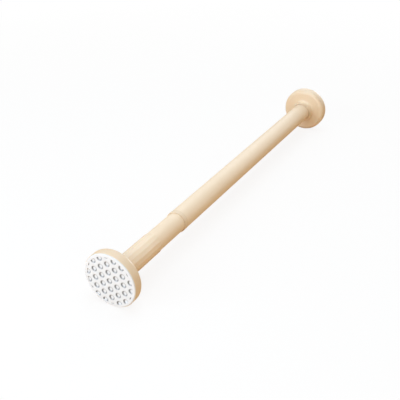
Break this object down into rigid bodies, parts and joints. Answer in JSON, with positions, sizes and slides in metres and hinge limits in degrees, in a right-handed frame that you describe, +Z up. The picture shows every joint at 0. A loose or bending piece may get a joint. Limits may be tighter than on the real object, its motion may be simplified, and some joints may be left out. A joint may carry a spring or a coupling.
{
  "type": "spring tension rod",
  "caption": "Telescopic spring tension rod with an inner twist lock, a faceted hand grip and large round feet with dimpled wall pads.",
  "frame": {"origin": "centre of the rear pad's wall face, on the rod's axis", "axes": "+X along the rod from the rear wall to the front wall, +Z up as hung"},
  "size_m": [0.658, 0.08, 0.08],
  "materials": {
    "tube_paint": "satin",
    "beige_moulding": "satin",
    "cream_moulding": "gloss",
    "pad_rubber": "matt",
    "white_nylon": "satin",
    "cam_nylon": "satin",
    "zinc_steel": "zinc plated",
    "spring_steel": "drawn wire"
  },
  "bodies": {
    "outer": {"outer_tube": "tube_paint", "mouth_bush": "beige_moulding", "rear_foot": "beige_moulding", "rear_pad": "pad_rubber", "rear_plug": "white_nylon", "rear_foot_screw": "zinc_steel"},
    "glide": {"glide_ring": "white_nylon"},
    "lock": {"lock_plug": "white_nylon", "stem": "zinc_steel", "end_cap": "white_nylon", "spring_washer": "zinc_steel"},
    "cam": {"cam_ring": "cam_nylon"},
    "inner": {"inner_tube": "tube_paint", "stem_bushing": "white_nylon", "spring": "spring_steel", "spring_backstop": "white_nylon", "grip": "cream_moulding", "swivel_screw": "zinc_steel", "swivel_washer": "zinc_steel"},
    "foot": {"front_foot": "beige_moulding", "front_pad": "pad_rubber"}
  },
  "joints": [
    {"name": "tube_extension", "type": "slide", "parent": "outer", "child": "glide", "axis": [1, 0, 0], "range_m": [-0.04, 0.242]},
    {"name": "twist_lock", "type": "hinge", "parent": "glide", "child": "lock", "pos_m": [0.105, 0, 0], "axis": [1, 0, 0], "range_deg": [0, 40]},
    {"name": "cam_counterturn", "type": "hinge", "parent": "lock", "child": "cam", "pos_m": [0.088, 0, 0.0007], "axis": [1, 0, 0], "range_deg": [-40, 0]},
    {"name": "spring_compression", "type": "slide", "parent": "lock", "child": "inner", "axis": [-1, 0, 0], "range_m": [0, 0.02], "stiffness_N_per_m": 4285, "deforming": ["spring"]},
    {"name": "foot_swivel", "type": "hinge", "parent": "inner", "child": "foot", "pos_m": [0.651, 0, 0], "axis": [1, 0, 0], "continuous": true}
  ],
  "couplings": [
    {"joint": "cam_counterturn", "follows": "twist_lock", "ratio": -1}
  ]
}
